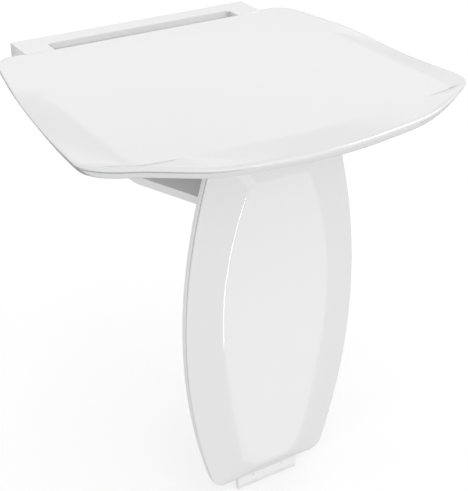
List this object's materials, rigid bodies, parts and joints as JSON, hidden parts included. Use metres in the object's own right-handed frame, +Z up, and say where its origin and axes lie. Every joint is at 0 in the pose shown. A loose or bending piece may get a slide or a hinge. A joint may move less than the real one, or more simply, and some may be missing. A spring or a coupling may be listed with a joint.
{
  "type": "folding shower seat",
  "caption": "Wall-hung folding shower seat with a flat one-piece seat, a leaf-shaped support leg and a height-adjustable foot.",
  "frame": {"origin": "centre of the four wall fixings, on the wall plane", "axes": "+Z up, +Y into the wall, +X to the right for a person facing the wall; the seat reaches out along -Y"},
  "size_m": [0.447, 0.4209, 0.483],
  "materials": {
    "white_gloss": "gloss moulded",
    "white_satin": "satin moulded",
    "stainless": "brushed",
    "zinc_steel": "bright zinc",
    "painted_frame": "powder coated",
    "aluminium": "anodised",
    "nylon": "natural",
    "white_rubber": "matt"
  },
  "bodies": {
    "root": {"wall_bracket": "white_gloss", "wall_plate": "stainless", "wall_plate_screws": "zinc_steel", "hinge_stub_pins": "stainless", "stub_pin_set_screws": "zinc_steel", "link_wall_pin": "stainless", "link_wall_pin_clips": "stainless", "fold_buffers": "white_rubber", "hinge_friction_washers": "nylon"},
    "seat": {"seat_shell": "white_gloss", "seat_frame": "painted_frame", "seat_screws": "zinc_steel", "seat_hinge_bushes": "nylon", "seat_hinge_caps": "white_gloss", "leg_hinge_pins": "stainless"},
    "leg": {"leg_front_shell": "white_gloss", "leg_rear_cover": "white_gloss", "leg_spine": "aluminium", "leg_bracket": "painted_frame", "leg_bracket_rivets": "zinc_steel", "leg_cover_screws": "zinc_steel", "leg_hinge_bushes": "nylon", "link_leg_pins": "stainless", "foot_clamp_screws": "zinc_steel"},
    "link": {"lower_link": "white_satin", "link_wall_bushes": "nylon", "link_leg_bushes": "nylon"},
    "foot": {"foot_slide": "stainless", "foot_shoe": "white_gloss", "foot_pad": "white_rubber", "foot_pins": "stainless"}
  },
  "joints": [
    {"name": "seat_fold", "type": "hinge", "parent": "root", "child": "seat", "pos_m": [0, -0.036, 0.041], "axis": [-1, 0, 0], "range_deg": [0, 90]},
    {"name": "leg_pivot", "type": "hinge", "parent": "seat", "child": "leg", "pos_m": [0, -0.292, 0.041], "axis": [1, 0, 0], "range_deg": [0, 90]},
    {"name": "link_pivot", "type": "hinge", "parent": "root", "child": "link", "pos_m": [0, -0.039, -0.038], "axis": [-1, 0, 0], "range_deg": [0, 90]},
    {"name": "foot_adjust", "type": "slide", "parent": "leg", "child": "foot", "axis": [0, 0, -1], "range_m": [-0.008, 0.025]}
  ],
  "couplings": [
    {"joint": "leg_pivot", "follows": "seat_fold", "ratio": 1},
    {"joint": "link_pivot", "follows": "seat_fold", "ratio": 1}
  ]
}
